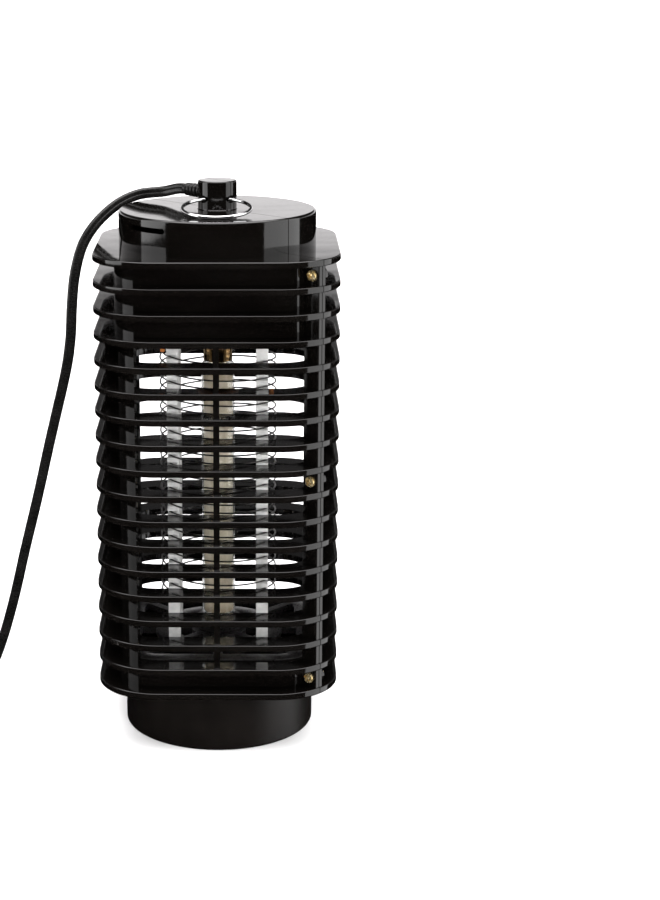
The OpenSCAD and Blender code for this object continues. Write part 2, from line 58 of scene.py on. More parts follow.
def make_camera():
    """The photograph's view: a long lens from the front, 14 degrees above, a little to the right."""
    distance, aim_z, elevation = 0.928, 0.1466, math.radians(14.12)
    yaw, roll = math.radians(1.0), math.radians(-0.23)
    data = bpy.data.cameras.new("camera")
    data.sensor_width = 36
    data.lens = 79.88
    data.shift_x = 0.1243
    data.shift_y = -0.0343
    camera = placed("camera", data)
    out = Vector((math.sin(yaw) * math.cos(elevation), -math.cos(yaw) * math.cos(elevation),
                  math.sin(elevation)))
    aim = Vector((0, 0, aim_z))
    turn = (-out).to_track_quat("-Z", "Y").to_matrix().to_4x4()
    camera.matrix_world = Matrix.Translation(aim + distance * out) @ turn @ Matrix.Rotation(roll, 4, "Z")
    bpy.context.scene.camera = camera


make_camera()


# ---------------------------------------------------------------- materials

def shader(name):
    """A new material, its node tree and its Principled shader."""
    made = bpy.data.materials.new(name)
    made.use_nodes = True
    tree = made.node_tree
    return made, tree, tree.nodes["Principled BSDF"]


def noise(tree, scale, detail=3.0, stretch=(1, 1, 1)):
    """Noise in object space, scale in features per metre; gives the factor socket."""
    place = tree.nodes.new("ShaderNodeTexCoord")
    mapping = tree.nodes.new("ShaderNodeMapping")
    mapping.inputs["Scale"].default_value = stretch
    texture = tree.nodes.new("ShaderNodeTexNoise")
    texture.inputs["Scale"].default_value = scale
    texture.inputs["Detail"].default_value = detail
    tree.links.new(place.outputs["Object"], mapping.inputs["Vector"])
    tree.links.new(mapping.outputs["Vector"], texture.inputs["Vector"])
    return texture.outputs["Fac"]


def graded(tree, factor, stops):
    """Colour or grey read off a line through (factor, value) stops."""
    node = tree.nodes.new("ShaderNodeValToRGB")
    for _ in stops[2:]:
        node.color_ramp.elements.new(0.5)
    for element, (place, value) in zip(node.color_ramp.elements, stops):
        element.position = place
        element.color = (*value, 1) if hasattr(value, "__len__") else (value, value, value, 1)
    tree.links.new(factor, node.inputs["Fac"])
    return node.outputs["Color"]


def ramp(tree, factor, low, high):
    """Colour or grey that goes from low to high over the middle of a noise's range."""
    return graded(tree, factor, ((0.35, low), (0.65, high)))


def bump(tree, bsdf, height, strength, distance):
    node = tree.nodes.new("ShaderNodeBump")
    node.inputs["Strength"].default_value = strength
    node.inputs["Distance"].default_value = distance
    tree.links.new(height, node.inputs["Height"])
    tree.links.new(node.outputs["Normal"], bsdf.inputs["Normal"])


def finish_of(name, colours, roughness, grain, bump_depth, metallic=0.0, level=0.5, patches=60.0,
              stretch=(1, 1, 1)):
    """A surface with slow colour and gloss variation and a fine grain in its relief."""
    made, tree, bsdf = shader(name)
    slow = noise(tree, patches, 4.0)
    fine = noise(tree, grain, 3.0, stretch)
    tree.links.new(ramp(tree, slow, *colours), bsdf.inputs["Base Color"])
    tree.links.new(ramp(tree, fine, *roughness), bsdf.inputs["Roughness"])
    bump(tree, bsdf, fine, 0.6, bump_depth)
    bsdf.inputs["Metallic"].default_value = metallic
    bsdf.inputs["Specular IOR Level"].default_value = level
    return made


def gloss_black():
    """Polished black moulding: faint flow waves and hairline variation in its gloss."""
    made, tree, bsdf = shader("gloss_black")
    flow = noise(tree, 22.0, 2.0, (1, 1, 2.5))
    fine = noise(tree, 900.0, 3.0)
    tree.links.new(ramp(tree, flow, (0.0018, 0.0015, 0.0013), (0.0030, 0.0026, 0.0023)),
                   bsdf.inputs["Base Color"])
    tree.links.new(ramp(tree, fine, 0.05, 0.09), bsdf.inputs["Roughness"])
    bump(tree, bsdf, flow, 0.25, 0.0006)
    bsdf.inputs["Specular IOR Level"].default_value = 0.42
    return made


def milky():
    """Pale, slightly translucent post plastic."""
    made, tree, bsdf = shader("milky_plastic")
    cloud = noise(tree, 160.0, 4.0)
    tree.links.new(ramp(tree, cloud, (0.60, 0.60, 0.59), (0.80, 0.80, 0.78)), bsdf.inputs["Base Color"])
    tree.links.new(ramp(tree, cloud, 0.25, 0.45), bsdf.inputs["Roughness"])
    bsdf.inputs["Subsurface Weight"].default_value = 0.5
    bsdf.inputs["Subsurface Radius"].default_value = (0.003, 0.003, 0.003)
    bsdf.inputs["Subsurface Scale"].default_value = 1.0
    bump(tree, bsdf, cloud, 0.3, 0.0002)
    return made


def clear_glass():
    made, tree, bsdf = shader("clear_glass")
    streak = noise(tree, 220.0, 2.0, (1, 1, 0.1))
    tree.links.new(ramp(tree, streak, 0.01, 0.05), bsdf.inputs["Roughness"])
    bsdf.inputs["Transmission Weight"].default_value = 1.0
    bsdf.inputs["IOR"].default_value = 1.45
    bsdf.inputs["Base Color"].default_value = (0.97, 0.98, 0.97, 1)
    return made


def phosphor():
    """Chalky beige coating, thinner and browner towards the tube's ends."""
    made, tree, bsdf = shader("phosphor")
    place = tree.nodes.new("ShaderNodeTexCoord")
    parts = tree.nodes.new("ShaderNodeSeparateXYZ")
    tree.links.new(place.outputs["Object"], parts.inputs["Vector"])
    height = tree.nodes.new("ShaderNodeMapRange")
    low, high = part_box("lamp_tube")
    height.inputs["From Min"].default_value = low.z
    height.inputs["From Max"].default_value = high.z
    tree.links.new(parts.outputs["Z"], height.inputs["Value"])
    stops = ((0.0, (0.16, 0.10, 0.06)), (0.06, (0.58, 0.50, 0.37)), (0.5, (0.72, 0.65, 0.51)),
             (0.93, (0.58, 0.49, 0.36)), (1.0, (0.14, 0.08, 0.05)))
    tree.links.new(graded(tree, height.outputs["Result"], stops), bsdf.inputs["Base Color"])
    speck = noise(tree, 1800.0, 4.0)
    tree.links.new(ramp(tree, speck, 0.75, 0.95), bsdf.inputs["Roughness"])
    bump(tree, bsdf, speck, 0.3, 0.0001)
    return made


# Two colours, two roughnesses, grain per metre, depth of its relief in metres, and what else differs
GRAINED = {
    "tray_black": (((0.0036, 0.0028, 0.0024), (0.0056, 0.0044, 0.0038)), (0.30, 0.40),
                   2600.0, 0.00012, {"level": 0.22}),
    "inner_black": (((0.010, 0.0095, 0.0092), (0.016, 0.015, 0.015)), (0.25, 0.4),
                    1500.0, 0.0001, {"level": 0.4}),
    "cord_black": (((0.0035, 0.0034, 0.0032), (0.007, 0.0067, 0.0064)), (0.20, 0.32),
                   1900.0, 0.00006, {"level": 0.32, "patches": 120.0}),
    "plug_black": (((0.008, 0.008, 0.0078), (0.013, 0.0128, 0.0125)), (0.42, 0.58),
                   2600.0, 0.00014, {"level": 0.4, "patches": 200.0}),
    "chrome": (((0.66, 0.66, 0.67), (0.76, 0.76, 0.76)), (0.04, 0.12), 900.0, 0.00002, {"metallic": 1.0}),
    "wire_steel": (((0.05, 0.048, 0.046), (0.10, 0.097, 0.094)), (0.25, 0.45),
                   1200.0, 0.00004, {"metallic": 1.0, "patches": 300.0}),
    "screw_zinc": (((0.80, 0.58, 0.24), (0.95, 0.82, 0.52)), (0.16, 0.3),
                   1400.0, 0.00004, {"metallic": 0.88, "patches": 500.0}),
    "nickel": (((0.60, 0.58, 0.55), (0.76, 0.75, 0.72)), (0.14, 0.3),
               1500.0, 0.00003, {"metallic": 1.0, "patches": 300.0, "stretch": (1, 0.1, 1)}),
    "lamp_metal": (((0.62, 0.55, 0.42), (0.82, 0.78, 0.70)), (0.18, 0.35),
                   1200.0, 0.00004, {"metallic": 1.0, "patches": 300.0, "stretch": (1, 1, 0.1)}),
    "cap_bronze": (((0.20, 0.12, 0.05), (0.34, 0.23, 0.11)), (0.12, 0.25),
                   1200.0, 0.00004, {"metallic": 1.0, "patches": 300.0, "stretch": (1, 1, 0.1)}),
    "solder": (((0.45, 0.45, 0.46), (0.62, 0.62, 0.62)), (0.2, 0.4), 1200.0, 0.00005, {"metallic": 1.0}),
    "phenolic": (((0.055, 0.022, 0.010), (0.10, 0.042, 0.020)), (0.3, 0.5), 1100.0, 0.0001, {}),
    "laminate": (((0.30, 0.19, 0.07), (0.42, 0.28, 0.11)), (0.35, 0.55),
                 900.0, 0.00005, {"patches": 90.0, "stretch": (6, 1, 1)}),
    "red_dip": (((0.30, 0.035, 0.015), (0.42, 0.06, 0.025)), (0.12, 0.25), 700.0, 0.0001, {}),
    "yellow_film": (((0.62, 0.40, 0.05), (0.75, 0.52, 0.10)), (0.25, 0.4), 900.0, 0.00005, {}),
    "resistor_tan": (((0.45, 0.30, 0.14), (0.58, 0.42, 0.22)), (0.3, 0.5), 1500.0, 0.00005, {}),
    "lead_orange": (((0.55, 0.17, 0.035), (0.68, 0.26, 0.07)), (0.4, 0.6), 1500.0, 0.00008, {}),
    "lead_white": (((0.55, 0.55, 0.52), (0.68, 0.68, 0.65)), (0.4, 0.6), 1500.0, 0.00008, {}),
}
FINISH = {name: finish_of(name, *row[:-1], **row[-1]) for name, row in GRAINED.items()}
FINISH.update(gloss_black=gloss_black(), milky=milky(), glass=clear_glass(), phosphor=phosphor())


# ---------------------------------------------------------------- mesh helpers

def mesh_of(name, verts, faces):
    data = bpy.data.meshes.new(name)
    data.from_pydata([tuple(v) for v in verts], [], faces)
    return data


def piece(name, verts, faces, finish, body, slot, smooth=True):
    """A new mesh piece in the row frame that rides on a body."""
    data = mesh_of(name, verts, faces)
    data.validate()
    data.update()
    if smooth:
        data.shade_smooth()
    data.materials.append(FINISH[finish])
    made = placed(name, data)
    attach(made, body)
    return made


def joined(parts):
    """Several (verts, faces) as one."""
    verts, faces = [], []
    for part_verts, part_faces in parts:
        start = len(verts)
        verts += [Vector(v) for v in part_verts]
        faces += [[start + i for i in face] for face in part_faces]
    return verts, faces


def moved(part, matrix):
    verts, faces = part
    return [matrix @ Vector(v) for v in verts], faces


def carried_frames(path, side):
    """For each point of a path, two directions square to it that never twist about it."""
    frames = []
    across = Vector(side).normalized()
    for i in range(len(path)):
        ahead = (path[min(i + 1, len(path) - 1)] - path[max(i - 1, 0)]).normalized()
        across = (across - across.dot(ahead) * ahead).normalized()
        frames.append((across, ahead.cross(across)))
    return frames


def swept(path, outline, side):
    """A tube along a path. The outline's points are (along side, square to it)."""
    path = [Vector(p) for p in path]
    n, verts, faces = len(outline), [], []
    for here, (u, v) in zip(path, carried_frames(path, side)):
        verts += [here + (a * u + b * v) for a, b in outline]
    last = (len(path) - 1) * n
    for k in range(0, last, n):
        faces += [[k + i, k + (i + 1) % n, k + n + (i + 1) % n, k + n + i] for i in range(n)]
    faces += [list(range(n))[::-1], [last + i for i in range(n)]]
    return verts, faces


def circle(radius, sides=16):
    return [(radius * math.cos(2 * math.pi * i / sides), radius * math.sin(2 * math.pi * i / sides))
            for i in range(sides)]


def lathe(profile, steps=64, closed=False):
    """A surface of revolution about Z from (radius, height) points; a closed profile is a ring."""
    n, verts, faces = len(profile), [], []
    for k in range(steps):
        a = 2 * math.pi * k / steps
        verts += [Vector((r * math.cos(a), r * math.sin(a), z)) for r, z in profile]
    for k in range(steps):
        nxt = (k + 1) % steps
        for i in range(n if closed else n - 1):
            j = (i + 1) % n
            faces.append([k * n + i, nxt * n + i, nxt * n + j, k * n + j])
    if not closed:
        for i, down in ((0, True), (n - 1, False)):
            ring = [k * n + i for k in range(steps)]
            faces.append(ring[::-1] if down else ring)
    return verts, faces


def arc(r, z, radius, start, end, steps=6):
    """Points of an arc about (r, z), from one angle in degrees to another."""
    turns = [math.radians(start + (end - start) * i / steps) for i in range(steps + 1)]
    return [(r + radius * math.cos(a), z + radius * math.sin(a)) for a in turns]


def round_box(size, centre, radius, steps=3):
    """A box with rounded edges and corners."""
    half = [s / 2 - radius for s in size]
    grid = []
    for axis_half in half:
        turns = [math.pi / 4 * k / steps for k in range(steps + 1)]
        grid.append([-axis_half - radius * math.tan(a) for a in turns[::-1]]
                    + [axis_half + radius * math.tan(a) for a in turns])
    verts, faces, index = [], [], {}

    def vertex(p):
        key = tuple(round(c, 8) for c in p)
        if key not in index:
            core = Vector([max(-h, min(h, c)) for c, h in zip(p, half)])
            out = Vector(p) - core
            index[key] = len(verts)
            verts.append(Vector(centre) + core + (out.normalized() * radius if out.length > 0 else out))
        return index[key]

    for axis in range(3):
        u, v = (axis + 1) % 3, (axis + 2) % 3
        for end in (0, -1):
            for i in range(len(grid[u]) - 1):
                for j in range(len(grid[v]) - 1):
                    quad = []
                    for a, b in ((i, j), (i + 1, j), (i + 1, j + 1), (i, j + 1)):
                        p = [0.0, 0.0, 0.0]
                        p[axis], p[u], p[v] = grid[axis][end], grid[u][a], grid[v][b]
                        quad.append(vertex(p))
                    faces.append(quad if end else quad[::-1])
    return verts, faces


def smooth_curve(points, parts):
    """A Catmull-Rom curve through the points, in metres."""
    out, n = [], len(points)
    for i in range(n - 1):
        p0, p1, p2, p3 = (points[max(i - 1, 0)], points[i], points[i + 1], points[min(i + 2, n - 1)])
        for k in range(parts):
            t = k / parts
            out.append(0.5 * (2 * p1 + (p2 - p0) * t + (2 * p0 - 5 * p1 + 4 * p2 - p3) * t * t
                              + (3 * p1 - p0 - 3 * p2 + p3) * t ** 3))
    return out + [points[-1]]


def ease(t):
    t = max(0.0, min(1.0, t))
    return t * t * (3 - 2 * t)


# ---------------------------------------------------------------- the cord

RELIEF_END = 20.9 * MM
RELIEF_Z = 252.0 * MM
CORD_W = 5.0 * MM
CORD_T = 3.0 * MM
ROUTE_MM = [
    (-18.6, 18.2, 251.6), (-25.5, 22.5, 249.7), (-36.5, 24.5, 248.2), (-45.8, 22.5, 244.4),
    (-54, 19, 238), (-60, 15.5, 230.8), (-63.7, 12.5, 223), (-66.5, 10.5, 211), (-67.8, 9, 197),
    (-68.5, 9, 185), (-70.1, 9, 173), (-72.6, 10, 161.5), (-76, 11.5, 148), (-80.5, 13, 130),
    (-86.5, 15, 105), (-93.5, 18, 78), (-100, 22, 52), (-106.5, 27, 30), (-113, 33, 13.5),
    (-121, 40, 5.2), (-131, 47, 2.9), (-141, 51.5, 2.6), (-152, 53.2, 2.5)]
COIL = Vector((-152, 22, 0)) * MM
COIL_IN = 26.0 * MM
COIL_STEP = 5.2 * MM
COIL_LOW = 2.5 * MM
TURNS = 4
PLUG_Y = -14.0 * MM
PLUG_Z = 5.5 * MM


def coil_place(turn, s):
    """Radius and height of a turn, s of the way through the stretch where the turns change places."""
    up, out = math.sin(s * math.pi / 2), math.cos(s * math.pi / 2)
    return [
        (COIL_IN + COIL_STEP, COIL_LOW),
        (COIL_IN + COIL_STEP * out, COIL_LOW),
        (COIL_IN, COIL_LOW + COIL_STEP * up),
        (COIL_IN + COIL_STEP * up, COIL_LOW + COIL_STEP * (up + out)),
    ][turn]


def coil_path():
    """Four turns, the second beside the first and the others on top, then out towards the plug."""
    steps, change, points = 60, 120.0, []
    for i in range(1, TURNS * steps):
        angle = 360.0 * i / steps
        radius, z = coil_place(int(angle // 360), ease((angle % 360) / change))
        way = math.radians(90 + angle)
        points.append(COIL + Vector((radius * math.cos(way), radius * math.sin(way), z)))
    for i in range(steps // 4 + 1):
        angle = 360.0 * i / steps
        radius = COIL_IN + COIL_STEP * (1 + ease(angle / 90))
        way = math.radians(90 + angle)
        points.append(COIL + Vector((radius * math.cos(way), radius * math.sin(way), COIL_LOW + COIL_STEP)))
    return points


def cord_path():
    reach = RELIEF_END * DIAGONAL
    start = Vector((-reach, reach, RELIEF_Z))
    route = [start] + [Vector(p) * MM for p in ROUTE_MM]
    coil = coil_path()
    last = coil[-1]
    tail = [last + (Vector((last.x, PLUG_Y, PLUG_Z)) - last) * t
            + Vector((0, 0, (ease(t) - t) * (PLUG_Z - last.z))) for t in (0.25, 0.5, 0.75, 1.0)]
    return smooth_curve(route, 6) + coil + tail, start


def twin_outline(width, thickness, sides=28):
    """Two round cores side by side: a shallow groove runs along both broad faces."""
    radius, offset = thickness / 2, (width - thickness) / 2
    outline = []
    for i in range(sides):
        a = 2 * math.pi * i / sides
        reach = abs(math.cos(a)) * offset + math.sqrt(radius ** 2 - (offset * math.sin(a)) ** 2)
        outline.append((reach * math.cos(a), reach * math.sin(a)))
    return outline


def make_cord():
    path, start = cord_path()
    verts, faces = swept(path, twin_outline(CORD_W, CORD_T), (0, 0, 1))
    cord = piece("mains_cord", verts, faces, "cord_black", "housing", "cord")
    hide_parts("power_cord", "cord_coil", "cord_tail")
    length = sum((b - a).length for a, b in zip(path, path[1:]))
    return cord, path, start, length


cord, cord_line, cord_start, cord_length = make_cord()


# ---------------------------------------------------------------- plug, relief and tie

RELIEF_TURN = Matrix.Rotation(math.radians(135), 4, "Z") @ Matrix.Rotation(math.radians(90), 4, "Y")
RELIEF_PLACE = Matrix.Translation((0, 0, RELIEF_Z)) @ RELIEF_TURN


def make_relief():
    """Tapering ribbed sleeve; the slots between its ribs let it bend."""
    ribs, pitch, rib, root = 5, 2.3 * MM, 1.15 * MM, 2.5 * MM
    start, seat, bore, shank = 4.0 * MM, 8.9 * MM, 1.6 * MM, 3.05 * MM
    profile = [(bore, start), (shank, start), (shank, seat), (root, seat + 0.1 * MM)]
    for i in range(ribs):
        low = seat + 0.5 * MM + pitch * i
        out = (3.3 - 0.08 * i) * MM
        edge = 0.25 * MM
        profile += [(root, low), (out - edge, low), (out, low + edge), (out, low + rib - edge),
                    (out - edge, low + rib), (root, low + rib)]
    profile += [(root, RELIEF_END - 0.3 * MM), (root - 0.2 * MM, RELIEF_END), (bore, RELIEF_END)]
    part = moved(lathe(profile, 40, closed=True), RELIEF_PLACE)
    made = piece("cord_relief_sleeve", *part, "cord_black", "housing", "cord")
    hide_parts("strain_relief")
    return made


PLUG_SIDES = 40
COLLAR_MM = 3.5


def plug_section(y, half_w, half_t):
    """A rounded rectangle across the plug, as points round the cord's axis."""
    points = []
    power = 0.42 if half_w > 1.6 * half_t else 0.75
    for i in range(PLUG_SIDES):
        a = 2 * math.pi * i / PLUG_SIDES
        c, s = math.cos(a), math.sin(a)
        points.append((math.copysign(abs(c) ** power, c) * half_w, y,
                       math.copysign(abs(s) ** power, s) * half_t))
    return points


def plug_half_width(back):
    """Half the plug's width at a distance from the cord's end of the plug, in mm."""
    collar_w, neck_w, head_w, flank_r = 6.6, 4.55, 15.35, 32.0
    neck_at, head_at = 6.5, 28
    if back < COLLAR_MM:
        return collar_w
    if back < neck_at:
        return collar_w - 2.0 * ease((back - COLLAR_MM) / 1.2)
    if back < head_at:
        return neck_w + flank_r - math.sqrt(max(flank_r ** 2 - (back - neck_at) ** 2, 0))
    return head_w


def make_plug():
    """Flat two-pin plug: broad head, hollow flanks with grip ribs and a collar for the cord."""
    low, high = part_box("plug_body")
    middle = (low + high) / 2
    half_t = (high.z - low.z) / 2
    length = high.y - low.y
    rings = 150
    grip_from, grip_to, grip_pitch, grip_depth = 7.5, 24, 1.55, 0.38 * MM
    edge, edge_depth = 0.9, 0.7 * MM
    verts, faces = [], []
    for k in range(rings + 1):
        back = length * k / rings
        mm = back / MM
        width = plug_half_width(mm) * MM
        thick = half_t * (0.60 + 0.40 * ease(mm / 12)) if mm > COLLAR_MM else half_t * 0.72
        if grip_from < mm < grip_to:
            width -= grip_depth * (0.5 - 0.5 * math.cos(2 * math.pi * (mm - grip_from) / grip_pitch))
        end = min(mm, length / MM - mm)
        if end < edge:
            shrink = edge_depth * (1 - math.sqrt(1 - (1 - end / edge) ** 2))
            width, thick = width - shrink, thick - shrink
        verts += [Vector((middle.x, high.y, middle.z)) + Vector(p)
                  for p in plug_section(-back, width, thick)]
    n = PLUG_SIDES
    for k in range(rings):
        faces += [[k * n + i, (k + 1) * n + i, (k + 1) * n + (i + 1) % n, k * n + (i + 1) % n]
                  for i in range(n)]
    faces += [list(range(n)), [rings * n + i for i in range(n)][::-1]]
    panel_z = half_t - 0.35 * MM
    panels = [round_box((20 * MM, 7.5 * MM, 0.6 * MM),
                        (middle.x, high.y - 28.5 * MM, middle.z + side * panel_z), 0.25 * MM)
              for side in (-1, 1)]
    body = joined([(verts, faces)] + panels)
    made = piece("plug_moulding", *body, "plug_black", "housing", "plug")
    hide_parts("plug_body")
    return made


def make_tie():
    """Flat band round the coil's four strands."""
    low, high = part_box("cord_tie")
    middle = (low + high) / 2
    across = Vector((DIAGONAL, -DIAGONAL, 0))
    along = Vector((DIAGONAL, DIAGONAL, 0))
    width, cad_width, gap = 4.3 * MM, 4.5 * MM, 0.05 * MM
    half_l = (high.x - low.x) / DIAGONAL / 2 - cad_width / 2 - gap
    half_h = (high.z - low.z) / 2 - gap
    thick, corner = 0.5 * MM, 1.2 * MM
    outline = []
    for sx, sz, start in ((1, 1, 0), (-1, 1, 90), (-1, -1, 180), (1, -1, 270)):
        for i in range(5):
            a = math.radians(start + 90 * i / 4)
            outline.append((sx * (half_l - corner), sz * (half_h - corner), math.cos(a), math.sin(a)))
    verts, faces = [], []
    for cx, cz, nx, nz in outline:
        for depth in (corner, corner - thick):
            for side in (-1, 1):
                verts.append(middle + across * (cx + nx * depth) + Vector((0, 0, cz + nz * depth))
                             + along * side * width / 2)
    n = len(outline)
    for k in range(n):
        a, b = 4 * k, 4 * ((k + 1) % n)
        faces += [[a, b, b + 1, a + 1], [a + 2, a + 3, b + 3, b + 2],
                  [a, a + 2, b + 2, b], [a + 1, b + 1, b + 3, a + 3]]
    made = piece("coil_band", verts, faces, "plug_black", "housing", "tie", smooth=False)
    soften(made, 0.12 * MM)
    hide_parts("cord_tie")
    return made


# ---------------------------------------------------------------- shared modifiers

def smooth_by_angle():
    """Node group: shade faces smooth, with edges over 30 degrees kept sharp."""
    group = bpy.data.node_groups.new("smooth_by_angle", "GeometryNodeTree")
    group.interface.new_socket("Geometry", in_out="INPUT", socket_type="NodeSocketGeometry")
    group.interface.new_socket("Geometry", in_out="OUTPUT", socket_type="NodeSocketGeometry")
    start, end = group.nodes.new("NodeGroupInput"), group.nodes.new("NodeGroupOutput")
    plain = group.nodes.new("GeometryNodeRemoveAttribute")
    plain.inputs["Name"].default_value = "custom_normal"
    faces = group.nodes.new("GeometryNodeSetShadeSmooth")
    edges = group.nodes.new("GeometryNodeSetShadeSmooth")
    edges.domain = "EDGE"
    angle = group.nodes.new("GeometryNodeInputMeshEdgeAngle")
    small = group.nodes.new("FunctionNodeCompare")
    small.operation = "LESS_THAN"
    small.inputs[1].default_value = math.radians(30)
    group.links.new(start.outputs[0], plain.inputs["Geometry"])
    group.links.new(plain.outputs["Geometry"], faces.inputs["Geometry"])
    group.links.new(faces.outputs["Geometry"], edges.inputs["Geometry"])
    group.links.new(angle.outputs["Unsigned Angle"], small.inputs[0])
    group.links.new(small.outputs[0], edges.inputs["Shade Smooth"])
    group.links.new(edges.outputs["Geometry"], end.inputs[0])
    return group


SMOOTH = smooth_by_angle()


def soften(thing, width, segments=2):
    """Round an object's sharp edges and shade it smooth."""
    weld = thing.modifiers.new("weld", "WELD")
    weld.merge_threshold = 0.002 * MM
    edge = thing.modifiers.new("edges", "BEVEL")
    edge.width = width
    edge.segments = segments
    edge.limit_method = "ANGLE"
    edge.angle_limit = math.radians(35)
    edge.use_clamp_overlap = False
    smooth = thing.modifiers.new("smooth", "NODES")
    smooth.node_group = SMOOTH


def dress(node, finish, width):
    """Give a CAD node its material and, with a width, softened edges."""
    thing = bpy.data.objects[node]
    for slot in thing.material_slots:
        slot.material = FINISH[finish]
    if width:
        soften(thing, width)
    else:
        smooth = thing.modifiers.new("smooth", "NODES")
        smooth.node_group = SMOOTH


# ---------------------------------------------------------------- the housing

PLATES = 18
PLATE_T = 3.0 * MM
PITCH = 11.6 * MM
FIRST_OPEN, LAST_OPEN = 3, 15
CLOSED_GAPS = (0, 1, 2, 16)
HOUSING_LOW, HOUSING_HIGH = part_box("front_shell")
HALF_W = -HOUSING_LOW.x
KNOB_TOP = HOUSING_HIGH.z
KNOB_R = 8.8 * MM
CAP_TOP = KNOB_TOP - 12.9 * MM
TOP_Z = CAP_TOP - 15.7 * MM
CORNER = HALF_W - 28 * MM
WALL_OUT = HALF_W - 9.5 * MM
WALL_IN = WALL_OUT - 2 * MM
LEDGE_IN = WALL_IN - 2 * MM
CAP_R = 44.8 * MM
CAP_WALL = 2.2 * MM
COLLAR_R = 41.8 * MM
COLLAR_IN = COLLAR_R - 2 * MM
SEAM_GAP = 0.4 * MM
FLANGE_T = 2.1 * MM
LIP_R = 0.6 * MM
BITE = 0.4 * MM
# Corner posts: the corner's signs, and where the post starts and ends round it, in degrees
FRONT_POST = (-1, -1, 205.7, 239.8)
REAR_POST = (1, 1, 9.9, 31.0)
FLANGE_IN = 56.5 * MM
FLANGE_OUT = 65.4 * MM
RIB_IN = WALL_IN + 0.1 * MM
RIB_FOOT = 52.4 * MM
RIB_HEAD = 49.6 * MM
RING_HOLE_Y = -6 * MM
RING_HOLE_Z = CAP_TOP + 4.9 * MM


def plate_top(k):
    return TOP_Z - k * PITCH


LOWEST_TOP = plate_top(PLATES - 1)
WALL_LOW, WALL_HIGH = LOWEST_TOP - BITE, TOP_Z - PLATE_T + BITE


def stations(ranges, step=5):
    """(corner centre, outward normal) pairs along the rounded square. The quarter turns come
    as (corner x sign, corner y sign, start angle, end angle)."""
    made = []
    for sx, sy, start, end in ranges:
        turns = max(1, round(abs(end - start) / step))
        for i in range(turns + 1):
            a = math.radians(start + (end - start) * i / turns)
            made.append((Vector((sx * CORNER, sy * CORNER, 0)), Vector((math.cos(a), math.sin(a), 0))))
    return made


ALL_ROUND = stations(((1, 1, 0, 90), (-1, 1, 90, 180), (-1, -1, 180, 270), (1, -1, 270, 360)))


def ring_of(profile, places, closed=True):
    """A profile of (distance from the axis along a side's normal, height) swept along the places."""
    n, verts, faces = len(profile), [], []
    for corner, normal in places:
        verts += [corner + normal * (h - CORNER) + Vector((0, 0, z)) for h, z in profile]
    count = len(places)
    for k in range(count if closed else count - 1):
        nxt = (k + 1) % count
        faces += [[k * n + i, nxt * n + i, nxt * n + (i + 1) % n, k * n + (i + 1) % n] for i in range(n)]
    if not closed:
        faces += [list(range(n)), [(count - 1) * n + i for i in range(n)][::-1]]
    return verts, faces


def lip_profile(inner, low, high):
    """A plate's section with a rounded lip."""
    turns = [math.radians(-90 + 180 * i / 10) for i in range(11)]
    lip = []
    for a in turns:
        z = low + LIP_R if a <= 0 else high - LIP_R
        lip.append((HALF_W - LIP_R + LIP_R * math.cos(a), z + LIP_R * math.sin(a)))
    return [(inner, low)] + lip + [(inner, high)]


def box_profile(inner, outer, low, high):
    return [(inner, low), (outer, low), (outer, high), (inner, high)]


def square_to_round(outer, radius, low, high):
    """A flat plate between the rounded square and a circle."""
    verts, faces = [], []
    n = len(ALL_ROUND)
    for corner, normal in ALL_ROUND:
        far = corner + normal * (outer - CORNER)
        near = far.normalized() * radius
        verts += [Vector((p.x, p.y, z)) for p in (far, near) for z in (low, high)]
    for k in range(n):
        a, b = 4 * k, 4 * ((k + 1) % n)
        faces += [[a, b, b + 1, a + 1], [a + 1, b + 1, b + 3, a + 3],
                  [a + 3, b + 3, b + 2, a + 2], [a + 2, b + 2, b, a]]
    return verts, faces


def cap_profile():
    """Half section of the hollow cap with its knob, from the knob's top round to the axis."""
    edge, soft, root = 1.2 * MM, 0.7 * MM, 0.5 * MM
    profile = [(0, KNOB_TOP)]
    profile += arc(KNOB_R - soft, KNOB_TOP - soft, soft, 90, 0, 5)
    profile += arc(KNOB_R + root, CAP_TOP + root, root, 180, 270, 5)
    profile += arc(CAP_R - edge, CAP_TOP - edge, edge, 90, 0, 7)
    profile += [(CAP_R, WALL_HIGH), (CAP_R - CAP_WALL, WALL_HIGH),
                (CAP_R - CAP_WALL, CAP_TOP - CAP_WALL), (0, CAP_TOP - CAP_WALL)]
    return profile


def axis_lathe(profile, steps=144):
    """A closed surface of revolution whose profile starts and ends on the axis."""
    verts, faces = [Vector((0, 0, profile[0][1])), Vector((0, 0, profile[-1][1]))], []
    rows = profile[1:-1]
    for k in range(steps):
        a = 2 * math.pi * k / steps
        verts += [Vector((r * math.cos(a), r * math.sin(a), z)) for r, z in rows]
    n = len(rows)
    for k in range(steps):
        nxt = (k + 1) % steps
        here, there = 2 + k * n, 2 + nxt * n
        faces.append([0, here, there])
        faces += [[here + i, here + i + 1, there + i + 1, there + i] for i in range(n - 1)]
        faces.append([1, there + n - 1, here + n - 1])
    return verts, faces


def slab(near, far, turn):
    """A closed solid between two outlines with matching points, turned about Z by degrees."""
    n = len(near)
    faces = [list(range(n))[::-1], [n + i for i in range(n)]]
    faces += [[i, (i + 1) % n, n + (i + 1) % n, n + i] for i in range(n)]
    return moved((near + far, faces), Matrix.Rotation(math.radians(turn), 4, "Z"))


